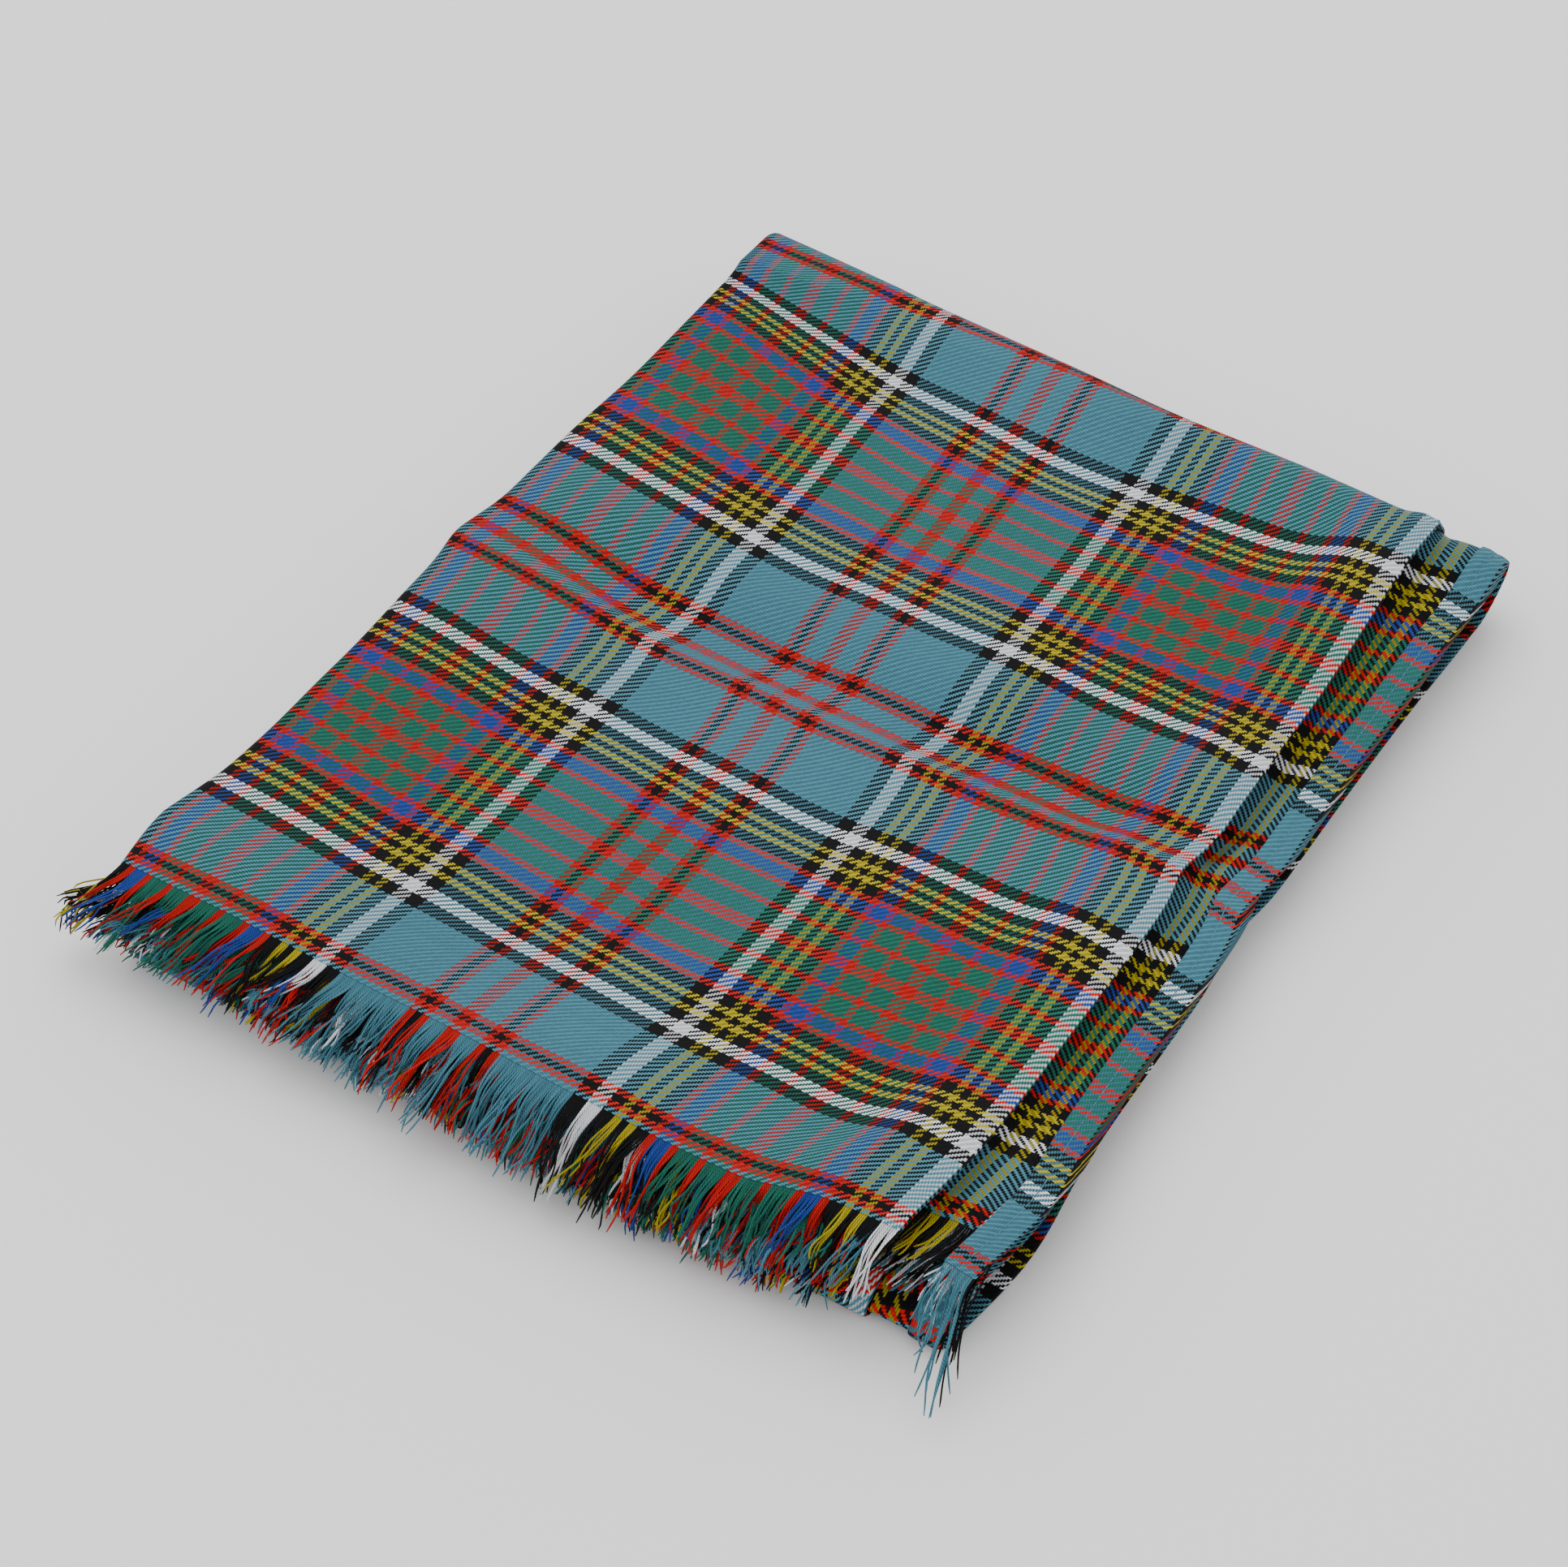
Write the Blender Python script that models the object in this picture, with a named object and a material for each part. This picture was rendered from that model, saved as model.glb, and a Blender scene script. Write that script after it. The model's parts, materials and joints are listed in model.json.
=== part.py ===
"""Folded throw blanket: one woven cloth, folded twice along its length and twice across it.

Sixteen layers lie on each other. Across the width the cloth is folded in half and in half
again, which makes four panels. Along the length it is folded in half and in half again, which
makes four sections of four panels each. The last fold across opens like a book.

Frame: +Z up, underside on Z = 0. +X runs along the weft to the hemmed side. -Y is the end
with the fringes, and +Y is the end with the last fold.
"""

import math

import bmesh
import bpy

# ---- driving dimensions, metres ----
CLOTH_THICKNESS = 0.0009
LAYER_PITCH = 0.0025          # from one layer to the next, with the air between them
OUTER_LEFT = -0.196           # outside of the fold that joins panels d and c
INNER_LEFT = -0.170           # outside of the fold that joins panels a and b
INNER_RIGHT = 0.158           # outside of the fold that joins panels c and b
HEM_D_EDGE = 0.173            # hemmed side of the top panel
HEM_A_EDGE = 0.196            # hemmed side of the panel under it, which sticks out
HEM_WIDTH = 0.011
LAST_FOLD_Y = 0.229           # centre line of the last fold, which is the hinge line, at X = 0
LAST_FOLD_SKEW = -0.07        # slope of that line: the blanket is longer on its left side
FRONT_FOLD_Y = -0.241         # centre line of the fold at the fringe end
INNER_END_Y = -0.223          # end of the cloth that is tucked inside
YARN_LENGTH = 0.045           # length of the fringes
MESH_GAP = 0.0003             # between solids that meet

# ---- thread and yarn sizes ----
THREAD_WIDTH = 0.0005
THREAD_HEIGHT = 0.0003
BUNDLE_THICKNESS = 0.0008
BUNDLE_FILL = 0.7             # part of each bundle's place that its yarns fill at the root
BUNDLE_TIP = 0.35             # the same at the tip
VISIBLE_BUNDLES = 24
HIDDEN_BUNDLES = 12
ROOT_BAND = 0.0015            # width of the band where the bundles are still joined
TIP_CLEARANCE = 0.0006        # lowest point of a hanging yarn above the surface

# ---- smoothness ----
SIDE_FOLD_STEPS = 6
TURN_STEPS = 4
LAST_FOLD_STEPS = 10
FRONT_FOLD_STEPS = 8
BUNDLE_STEPS = 5

# ---- places that follow from those ----
HALF_CLOTH = CLOTH_THICKNESS / 2
HEM_RISE = CLOTH_THICKNESS + MESH_GAP             # from a panel to its turned margin
OFFSET = {"d": 1.5 * LAYER_PITCH, "a": 0.5 * LAYER_PITCH,
          "b": -0.5 * LAYER_PITCH, "c": -1.5 * LAYER_PITCH}
SECTION_HEIGHT = 4 * LAYER_PITCH
BOTTOM_MID_Z = HALF_CLOTH + 1.5 * LAYER_PITCH     # middle of the lowest section
INNER_BOTTOM_MID_Z = BOTTOM_MID_Z + SECTION_HEIGHT
INNER_TOP_MID_Z = INNER_BOTTOM_MID_Z + SECTION_HEIGHT
TOP_MID_Z = INNER_TOP_MID_Z + SECTION_HEIGHT
LAST_FOLD_Z = (INNER_BOTTOM_MID_Z + INNER_TOP_MID_Z) / 2
FRONT_FOLD_Z = (BOTTOM_MID_Z + INNER_BOTTOM_MID_Z) / 2
OUTER_BEND_RADIUS = TOP_MID_Z - LAST_FOLD_Z
INNER_BEND_RADIUS = INNER_TOP_MID_Z - LAST_FOLD_Z
FRONT_BEND_RADIUS = INNER_BOTTOM_MID_Z - FRONT_FOLD_Z

CLOTH_COLOUR = (0.16, 0.27, 0.27)
THREAD_COLOUR = (0.08, 0.20, 0.26)
FRINGE_COLOUR = (0.07, 0.15, 0.12)


# ---- scene helpers ----
def clear_scene():
    for item in list(bpy.data.objects):
        bpy.data.objects.remove(item, do_unlink=True)


def fabric(name, colour, roughness):
    material = bpy.data.materials.new(name)
    material.use_nodes = True
    shader = material.node_tree.nodes["Principled BSDF"]
    shader.inputs["Base Color"].default_value = (*colour, 1.0)
    shader.inputs["Roughness"].default_value = roughness
    shader.inputs["Metallic"].default_value = 0.0
    return material


def finish_object(name, mesh_data, material, parent):
    """Turn bmesh data into a named object whose parent empty sits on the hinge line."""
    bmesh.ops.recalc_face_normals(mesh_data, faces=mesh_data.faces)
    mesh = bpy.data.meshes.new(name)
    mesh_data.to_mesh(mesh)
    mesh_data.free()
    mesh.materials.append(material)
    mesh.shade_smooth()
    mesh.set_sharp_from_angle(angle=math.radians(40))
    item = bpy.data.objects.new(name, mesh)
    bpy.context.collection.objects.link(item)
    item.parent = parent
    item.location = (-parent.location.x, -parent.location.y, -parent.location.z)
    return item


def pivot(name, location):
    empty = bpy.data.objects.new(name, None)
    empty.location = location
    bpy.context.collection.objects.link(empty)
    return empty


# ---- cross-section of one section: a strip that winds through its four panels ----
def arc(centre_x, centre_q, radius, start_deg, end_deg, steps):
    points = []
    for step in range(steps + 1):
        angle = math.radians(start_deg + (end_deg - start_deg) * step / steps)
        points.append((centre_x + radius * math.cos(angle), centre_q + radius * math.sin(angle)))
    return points


def cloth_centreline():
    """Points (x, offset) from the margin of panel d, through d, c, b and a, to a's margin."""
    turn = HEM_RISE / 2
    outer_radius = 1.5 * LAYER_PITCH
    inner_radius = 0.5 * LAYER_PITCH
    turn_d_x = HEM_D_EDGE - HALF_CLOTH - turn
    turn_a_x = HEM_A_EDGE - HALF_CLOTH - turn
    points = [(HEM_D_EDGE - HEM_WIDTH, OFFSET["d"] - HEM_RISE)]
    points += arc(turn_d_x, OFFSET["d"] - turn, turn, -90, 90, TURN_STEPS)
    points += arc(OUTER_LEFT + HALF_CLOTH + outer_radius, 0, outer_radius, 90, 270, SIDE_FOLD_STEPS)
    points += arc(INNER_RIGHT - HALF_CLOTH - inner_radius, -LAYER_PITCH, inner_radius, -90, 90,
                  SIDE_FOLD_STEPS)
    points += arc(INNER_LEFT + HALF_CLOTH + inner_radius, 0, inner_radius, 270, 90, SIDE_FOLD_STEPS)
    points += arc(turn_a_x, OFFSET["a"] + turn, turn, -90, 90, TURN_STEPS)
    points.append((HEM_A_EDGE - HEM_WIDTH, OFFSET["a"] + HEM_RISE))
    return points


def ribbon(points, thickness):
    """Both sides of a strip of even thickness along the points."""
    left_side = []
    right_side = []
    last = len(points) - 1
    for index, (x, q) in enumerate(points):
        before = points[max(index - 1, 0)]
        after = points[min(index + 1, last)]
        run = math.hypot(after[0] - before[0], after[1] - before[1])
        across = (-(after[1] - before[1]) / run, (after[0] - before[0]) / run)
        left_side.append((x + across[0] * thickness / 2, q + across[1] * thickness / 2))
        right_side.append((x - across[0] * thickness / 2, q - across[1] * thickness / 2))
    return left_side, right_side


def box_outline(x_low, x_high, q_low, q_high):
    return [(x_low, q_high), (x_high, q_high)], [(x_low, q_low), (x_high, q_low)]


# ---- stations: where the cross-section stands along the cloth ----
def straight(y_start, y_end, mid_z, up):
    """Two stations on a flat stretch; up is 1 where the offset points up, else -1."""
    return [(y_start, mid_z, 0.0, up), (y_end, mid_z, 0.0, up)]


def bend(centre_y, centre_z, radius, back, outward, steps):
    """Half a turn from top to bottom; back is 1 at the last fold and -1 at the front fold."""
    stations = []
    for step in range(steps + 1):
        angle = math.radians(90 - 180 * step / steps)
        across = (back * math.cos(angle), math.sin(angle))
        stations.append((centre_y + radius * across[0], centre_z + radius * across[1],
                         outward * across[0], outward * across[1]))
    return stations


def skewed(x, y):
    """Y after the skew, which is nothing at the front fold and whole from the last fold on."""
    share = min((y - FRONT_FOLD_Y) / (LAST_FOLD_Y - FRONT_FOLD_Y), 1.0)
    return y + LAST_FOLD_SKEW * x * max(share, 0.0)


def sweep(mesh_data, outline, stations):
    """Loft an outline of two matching sides along the stations and close both ends."""
    rings = []
    for y, z, normal_y, normal_z in stations:
        rings.append([[mesh_data.verts.new((x, skewed(x, y) + q * normal_y, z + q * normal_z))
                       for x, q in side] for side in outline])
    for near, far in zip(rings, rings[1:]):
        near_loop = near[0] + near[1][::-1]
        far_loop = far[0] + far[1][::-1]
        for index in range(len(near_loop)):
            after = (index + 1) % len(near_loop)
            mesh_data.faces.new((near_loop[index], near_loop[after],
                                 far_loop[after], far_loop[index]))
    for left_side, right_side in (rings[0], rings[-1]):
        for index in range(len(left_side) - 1):
            mesh_data.faces.new((left_side[index], left_side[index + 1],
                                 right_side[index + 1], right_side[index]))


def swept_object(name, outline, stations, material, parent):
    mesh_data = bmesh.new()
    sweep(mesh_data, outline, stations)
    return finish_object(name, mesh_data, material, parent)


# ---- the places of the sections and bends ----
def section_stations():
    """Flat stretches, by name: the front end first."""
    back_end = LAST_FOLD_Y
    folded_end = FRONT_FOLD_Y + MESH_GAP
    return {
        "top_section": straight(FRONT_FOLD_Y, back_end, TOP_MID_Z, 1),
        "inner_top_section": straight(INNER_END_Y, back_end, INNER_TOP_MID_Z, -1),
        "inner_bottom_section": straight(folded_end, back_end, INNER_BOTTOM_MID_Z, 1),
        "bottom_section": straight(folded_end, back_end, BOTTOM_MID_Z, -1),
    }


def bend_stations():
    bend_y = LAST_FOLD_Y + MESH_GAP
    return {
        "last_fold_outer": bend(bend_y, LAST_FOLD_Z, OUTER_BEND_RADIUS, 1, 1, LAST_FOLD_STEPS),
        "last_fold_inner": bend(bend_y, LAST_FOLD_Z, INNER_BEND_RADIUS, 1, -1, LAST_FOLD_STEPS),
        "front_fold": bend(FRONT_FOLD_Y, FRONT_FOLD_Z, FRONT_BEND_RADIUS, -1, 1, FRONT_FOLD_STEPS),
    }


# ---- cloth ----
def make_cloth(material, pivots):
    outline = ribbon(cloth_centreline(), CLOTH_THICKNESS)
    for name, stations in {**section_stations(), **bend_stations()}.items():
        swept_object(name + "_cloth", outline, stations, material, pivots[name])


# ---- sewing thread along the two hems ----
def thread_outlines():
    """Thread a lies on the middle of its margin, and thread d along its margin's raw edge."""
    margin_top = OFFSET["a"] + HEM_RISE + HALF_CLOTH
    middle_a = HEM_A_EDGE - HEM_WIDTH / 2
    thread_a = box_outline(middle_a - THREAD_WIDTH / 2, middle_a + THREAD_WIDTH / 2,
                           margin_top + MESH_GAP, margin_top + MESH_GAP + THREAD_HEIGHT)
    raw_edge = HEM_D_EDGE - HEM_WIDTH - MESH_GAP
    margin_d = OFFSET["d"] - HEM_RISE
    thread_d = box_outline(raw_edge - THREAD_WIDTH, raw_edge,
                           margin_d - THREAD_HEIGHT / 2, margin_d + THREAD_HEIGHT / 2)
    return {"a": thread_a, "d": thread_d}


def make_threads(material, pivots):
    sections = section_stations()
    bends = bend_stations()
    lower_run = sections["inner_bottom_section"][::-1] + bends["front_fold"]
    lower_run += sections["bottom_section"]
    runs = {
        "top_section": sections["top_section"],
        "inner_top_section": sections["inner_top_section"],
        "lower_half": lower_run,
        "last_fold_outer": bends["last_fold_outer"],
        "last_fold_inner": bends["last_fold_inner"],
    }
    for hem, outline in thread_outlines().items():
        for name, stations in runs.items():
            swept_object("hem_thread_%s_%s" % (hem, name), outline, stations, material,
                         pivots[name])


# ---- fringes ----
def hanging_path(root_y, radius, length):
    """Stations along yarns that lie flat to the front fold, bend over it and then hang."""
    flat = root_y - FRONT_FOLD_Y
    quarter = radius * math.pi / 2
    length = min(length, flat + quarter + FRONT_FOLD_Z - TIP_CLEARANCE)
    bend_start = max(flat, ROOT_BAND)
    marks = [0.0, ROOT_BAND] + ([flat] if flat > ROOT_BAND else [])
    marks += [bend_start + (length - bend_start) * (step + 1) / BUNDLE_STEPS
              for step in range(BUNDLE_STEPS)]
    stations = []
    for mark in marks:
        if mark <= flat:
            stations.append((root_y - mark, FRONT_FOLD_Z + radius, 0.0, 1.0))
            continue
        angle = min((mark - flat) / radius, math.pi / 2)
        drop = max(mark - flat - quarter, 0.0)
        stations.append((FRONT_FOLD_Y - radius * math.sin(angle),
                         FRONT_FOLD_Z + radius * math.cos(angle) - drop,
                         -math.sin(angle), math.cos(angle)))
    return stations


def panel_spans():
    """Flat width of each panel, as (low x, high x)."""
    outer_centre = OUTER_LEFT + HALF_CLOTH + 1.5 * LAYER_PITCH
    inner_centre = INNER_LEFT + HALF_CLOTH + 0.5 * LAYER_PITCH
    right_centre = INNER_RIGHT - HALF_CLOTH - 0.5 * LAYER_PITCH
    return {"d": (outer_centre, HEM_D_EDGE), "a": (inner_centre, HEM_A_EDGE),
            "b": (inner_centre, right_centre), "c": (outer_centre, right_centre)}


def add_row(mesh_data, xs, station):
    """Two rows of vertices at a station: the yarns' upper side and their lower side."""
    y, z, normal_y, normal_z = station
    half = BUNDLE_THICKNESS / 2
    return [[mesh_data.verts.new((x, skewed(x, y) + q * normal_y, z + q * normal_z)) for x in xs]
            for q in (half, -half)]


def join_rows(mesh_data, near, far):
    """Skin between two rows: both broad sides and both narrow edges."""
    last = len(near[0]) - 1
    for side in (0, 1):
        for index in range(last):
            mesh_data.faces.new((near[side][index], near[side][index + 1],
                                 far[side][index + 1], far[side][index]))
    for index in (0, last):
        mesh_data.faces.new((near[0][index], far[0][index], far[1][index], near[1][index]))


def close_row(mesh_data, row, indices):
    for index in indices:
        mesh_data.faces.new((row[0][index], row[0][index + 1], row[1][index + 1], row[1][index]))


def make_fringe(name, span, stations, bundles, material, parent):
    """A comb: a narrow band where the yarns leave the cloth, then bundles that taper."""
    mesh_data = bmesh.new()
    place = (span[1] - span[0]) / bundles
    middles = [span[0] + (index + 0.5) * place for index in range(bundles)]
    root_half = place * BUNDLE_FILL / 2
    root_xs = [middle + side * root_half for middle in middles for side in (-1, 1)]
    start = add_row(mesh_data, root_xs, stations[0])
    band = add_row(mesh_data, root_xs, stations[1])
    join_rows(mesh_data, start, band)
    close_row(mesh_data, start, range(len(root_xs) - 1))
    close_row(mesh_data, band, range(1, len(root_xs) - 1, 2))
    for number, middle in enumerate(middles):
        near = [side[2 * number:2 * number + 2] for side in band]
        for step in range(2, len(stations)):
            along = (step - 1) / (len(stations) - 2)
            half = place * (BUNDLE_FILL + (BUNDLE_TIP - BUNDLE_FILL) * along) / 2
            far = add_row(mesh_data, (middle - half, middle + half), stations[step])
            join_rows(mesh_data, near, far)
            near = far
        close_row(mesh_data, near, [0])
    return finish_object(name, mesh_data, material, parent)


def make_fringes(material, parent):
    ends = {"top_end": (TOP_MID_Z, 1, FRONT_FOLD_Y - MESH_GAP),
            "inner_end": (INNER_TOP_MID_Z, -1, INNER_END_Y - MESH_GAP)}
    for end, (mid_z, up, root_y) in ends.items():
        for panel, span in panel_spans().items():
            radius = mid_z + up * OFFSET[panel] - FRONT_FOLD_Z
            seen = end == "top_end" and panel in "da"
            make_fringe("fringe_%s_panel_%s" % (end, panel), span,
                        hanging_path(root_y, radius, YARN_LENGTH),
                        VISIBLE_BUNDLES if seen else HIDDEN_BUNDLES, material, parent)


# ---- assembly ----
def main():
    clear_scene()
    lower_half = pivot("lower_half_origin", (0.0, 0.0, 0.0))
    upper_half = pivot("upper_half_hinge", (0.0, LAST_FOLD_Y, LAST_FOLD_Z))
    bpy.context.view_layer.update()
    pivots = {
        "top_section": upper_half,
        "inner_top_section": upper_half,
        "inner_bottom_section": lower_half,
        "bottom_section": lower_half,
        "lower_half": lower_half,
        "front_fold": lower_half,
        "last_fold_outer": lower_half,
        "last_fold_inner": lower_half,
    }
    make_cloth(fabric("woven_cloth", CLOTH_COLOUR, 0.9), pivots)
    make_threads(fabric("hem_thread", THREAD_COLOUR, 0.7), pivots)
    make_fringes(fabric("fringe_yarn", FRINGE_COLOUR, 0.9), upper_half)


main()
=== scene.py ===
"""Looks of the folded throw blanket: one twill cloth in a many-coloured check, with fringed ends.

The cloth is made whole, as one grid of points: columns follow the warp from hem to hem, and
rows follow its length from one fringed end to the other. The grid is folded along the CAD
layers, settled into soft bulges, and then cut into the pieces that the CAD bodies carry.
"""

import json
import math

import bpy
import numpy as np
from mathutils import Matrix, Vector


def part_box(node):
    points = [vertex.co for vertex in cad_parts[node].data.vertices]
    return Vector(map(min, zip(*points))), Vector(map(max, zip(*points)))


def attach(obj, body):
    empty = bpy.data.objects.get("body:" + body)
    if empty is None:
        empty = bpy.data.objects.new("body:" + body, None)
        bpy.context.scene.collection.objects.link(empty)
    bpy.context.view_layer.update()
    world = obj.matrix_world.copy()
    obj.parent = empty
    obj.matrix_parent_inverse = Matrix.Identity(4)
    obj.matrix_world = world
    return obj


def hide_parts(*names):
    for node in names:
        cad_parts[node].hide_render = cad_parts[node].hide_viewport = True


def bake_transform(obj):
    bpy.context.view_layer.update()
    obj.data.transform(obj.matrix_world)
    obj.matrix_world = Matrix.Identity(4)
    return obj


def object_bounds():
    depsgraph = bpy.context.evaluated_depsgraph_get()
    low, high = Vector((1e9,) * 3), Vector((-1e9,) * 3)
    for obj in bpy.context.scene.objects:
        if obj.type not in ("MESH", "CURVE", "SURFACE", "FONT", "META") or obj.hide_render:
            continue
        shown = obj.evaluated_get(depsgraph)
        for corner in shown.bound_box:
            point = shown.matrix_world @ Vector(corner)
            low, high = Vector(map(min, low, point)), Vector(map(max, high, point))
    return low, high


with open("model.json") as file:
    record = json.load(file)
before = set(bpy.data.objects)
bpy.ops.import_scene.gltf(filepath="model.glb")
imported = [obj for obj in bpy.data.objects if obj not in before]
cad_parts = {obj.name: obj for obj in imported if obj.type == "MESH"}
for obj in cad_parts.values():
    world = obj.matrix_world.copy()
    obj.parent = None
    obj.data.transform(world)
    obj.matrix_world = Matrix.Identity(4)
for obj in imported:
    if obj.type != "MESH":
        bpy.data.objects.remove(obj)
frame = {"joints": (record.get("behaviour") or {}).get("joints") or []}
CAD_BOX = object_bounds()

# ---- the frame ----
HINGE = next(joint for joint in frame["joints"] if joint["name"] == "last_fold")
HINGE_Y, HINGE_Z = HINGE["pos_m"][1:]
FOLD_SKEW = HINGE["axis"][1] / HINGE["axis"][0]   # slope of the last fold's line across the pile
TOP_LOW, TOP_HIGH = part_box("top_section_cloth")
FRONT_LOW, FRONT_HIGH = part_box("front_fold_cloth")
LEFT_INSET = 0.0055                       # the cloth's left fold lies this far inside the CAD's
OUTER_LEFT = TOP_LOW.x + LEFT_INSET       # outside of the fold between panels d and c
HEM_A_EDGE = TOP_HIGH.x                   # hem of panel a, which sticks out
TOP_Z = TOP_HIGH.z
FRONT_Y = FRONT_HIGH.y                    # centre line of the front fold
FRONT_Z = (FRONT_LOW.z + FRONT_HIGH.z) / 2

# ---- sizes of the cloth, metres ----
CLOTH_THICKNESS = 0.0009
LAYER_PITCH = 0.0025
SECTION_HEIGHT = 4 * LAYER_PITCH
HEM_D_EDGE = 0.1685                       # hem of panel d, on top
INNER_LEFT = -0.170                       # outside of the fold between panels a and b
INNER_RIGHT = 0.158                       # outside of the fold between panels c and b
HEM_WIDTH = 0.0124
HEM_GAP = 0.0003                          # between the margin and the cloth it is turned over on
HEM_RISE = CLOTH_THICKNESS + HEM_GAP
HEM_TURN_STEPS = 6
MARGIN_STEPS = 16
WELT = 0.0005                             # how far the margin bulges on each side of its seam
INNER_END_Y = -0.223                      # last weft of the end that lies inside
OFFSET = {"d": 1.5 * LAYER_PITCH, "a": 0.5 * LAYER_PITCH,
          "b": -0.5 * LAYER_PITCH, "c": -1.5 * LAYER_PITCH}
FRONT_REACH = (SECTION_HEIGHT + 3 * LAYER_PITCH + CLOTH_THICKNESS) / 2       # of the front fold
TOP_MID_Z = HINGE_Z + 1.5 * SECTION_HEIGHT
INNER_TOP_MID_Z = HINGE_Z + 0.5 * SECTION_HEIGHT

# ---- the check ----
THREAD = 0.0008                           # from one thread to the next, both ways
HALF_SETT = (("red", 4), ("pale_blue", 11), ("red", 4), ("black", 4), ("red", 4),
             ("pale_blue", 42), ("black", 8), ("white", 8), ("black", 7), ("yellow", 4),
             ("black", 4), ("yellow", 4), ("black", 7), ("red", 4), ("blue", 8), ("red", 4),
             ("green", 11), ("red", 4), ("green", 11), ("red", 4))
HALF_COUNT = sum(count for _, count in HALF_SETT)
WARP_COVER = 0.94                         # share of its place that the slimmer warp fills
WARP_SHADE = 0.62                         # painted shade: the warp's colour is darkened, as it lies deeper than the weft, in the weft's shadow
COLOURS = {"red": (176, 20, 18), "pale_blue": (68, 120, 137), "black": (13, 11, 13),
           "white": (210, 213, 218), "yellow": (164, 150, 22), "blue": (34, 62, 136),
           "green": (24, 96, 80)}
FIRST_WEFT = 12                           # thread number of the first weft at the top end
HEM_D_WARP = 76                           # thread number of the warp at the edge of panel d
HEM_A_WARP = 12 * HALF_COUNT - 70         # and at the edge of panel a: 70 short of six repeats

# ---- the layers as the settling sees them ----
MOST_RISE = 0.0104                        # how far the top may rise above the CAD's
STILL_Z = HINGE_Z + 0.0013                # layers below this don't rise
TOP_LAYER_Z = (0.0357, 0.0367)            # the topmost layer starts between these heights
SLIP_Z = (0.004, 0.024)                   # layers drift along y more and more between these

# ---- fineness of the grid ----
FINE = 0.0032
COARSE = 0.009
ROW_FINE = 0.0036
ROW_COARSE = 0.009

# ---- sewing thread ----
STITCH = 0.0028
STITCH_GAP = 0.0008
STITCH_RADIUS = 0.00022
STITCH_SIDES = 4
STITCH_STEPS = 6
STITCH_COLOUR = (84, 132, 152)
STITCH_SHADOW = (52, 92, 110)

# ---- fringes ----
YARN_LENGTH = 0.042
HEM_YARN_LENGTH = 0.052                   # at the hem that sticks out
YARN_RADIUS = 0.00038
YARN_SIDES = 5
YARN_STEPS = 14
PLY_PITCH = 0.0028
TIP_SHARE = 0.55                          # radius of a tube's last ring, as a share of the others'
MOST_LEAN = 0.72                          # to the left, as a share of the yarn's length
MOST_STEEP = 1.55                         # radians below level
LEFT_ROOM = 0.019                         # farthest that a yarn's middle goes past the CAD's left side
SEED = 7

# ---- view, light and floor ----
VIEW_AZIMUTH = 30.97
VIEW_ELEVATION = 44.75
VIEW_ROLL = 0.65
VIEW_PLACE = (0.5521, -0.9743, 1.0997)
LENS = 84.93
WORLD_LIGHT = 1.2
FLOOR_HALF = 12
FLOOR_GAP = 0.0004                        # keeps the floor's surface clear of the cloth's
FLOOR_COLOUR = (0.84, 0.83, 0.83, 1)


# ---- small functions ----
def ramp(value, start, end):
    """0 before start, 1 after end and a soft step between them; end may be below start."""
    share = np.clip((value - start) / (end - start), 0, 1)
    return share * share * (3 - 2 * share)


def hump(value, centre, width):
    return np.exp(-((value - centre) / width) ** 2)


def srgb(colour):
    return tuple((part / 255 / 12.92 if part < 11 else ((part / 255 + 0.055) / 1.055) ** 2.4)
                 for part in colour)


# ---- camera, light and floor ----
def make_camera():
    azimuth, elevation, roll = np.radians((VIEW_AZIMUTH, VIEW_ELEVATION, VIEW_ROLL))
    data = bpy.data.cameras.new("camera")
    data.lens = LENS
    data.sensor_width = 36
    data.clip_end = 50
    camera = bpy.data.objects.new("camera", data)
    turn = Matrix.Rotation(azimuth, 4, "Z") @ Matrix.Rotation(math.pi / 2 - elevation, 4, "X")
    camera.matrix_world = (Matrix.Translation(VIEW_PLACE) @ turn
                           @ Matrix.Rotation(roll, 4, "Z"))
    bpy.context.collection.objects.link(camera)
    bpy.context.scene.camera = camera


def area_light(name, location, size, power):
    data = bpy.data.lights.new(name, "AREA")
    data.shape = "DISK"
    data.size = size
    data.energy = power
    light = bpy.data.objects.new(name, data)
    light.location = location
    light.rotation_euler = (-Vector(location)).to_track_quat("-Z", "Y").to_euler()
    bpy.context.collection.objects.link(light)


def make_studio():
    area_light("key_light", (-0.4, 0.7, 2.4), 2.4, 32)
    area_light("fill_light", (-0.6, -1.3, 2.4), 2.4, 12)
    world = bpy.data.worlds.new("world")
    world.use_nodes = True
    background = world.node_tree.nodes["Background"]
    background.inputs["Color"].default_value = (1, 1, 1, 1)
    background.inputs["Strength"].default_value = WORLD_LIGHT
    bpy.context.scene.world = world
    return make_floor()


def make_floor():
    mesh = bpy.data.meshes.new("floor")
    half = FLOOR_HALF
    mesh.from_pydata([(-half, -half, 0), (half, -half, 0), (half, half, 0), (-half, half, 0)],
                     [], [(0, 1, 2, 3)])
    floor = bpy.data.objects.new("floor", mesh)
    floor.location.z = -FLOOR_GAP
    bpy.context.collection.objects.link(floor)
    material = bpy.data.materials.new("floor")
    material.use_nodes = True
    shader = material.node_tree.nodes["Principled BSDF"]
    shader.inputs["Base Color"].default_value = FLOOR_COLOUR
    shader.inputs["Roughness"].default_value = 0.55
    mesh.materials.append(material)
    return floor


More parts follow.
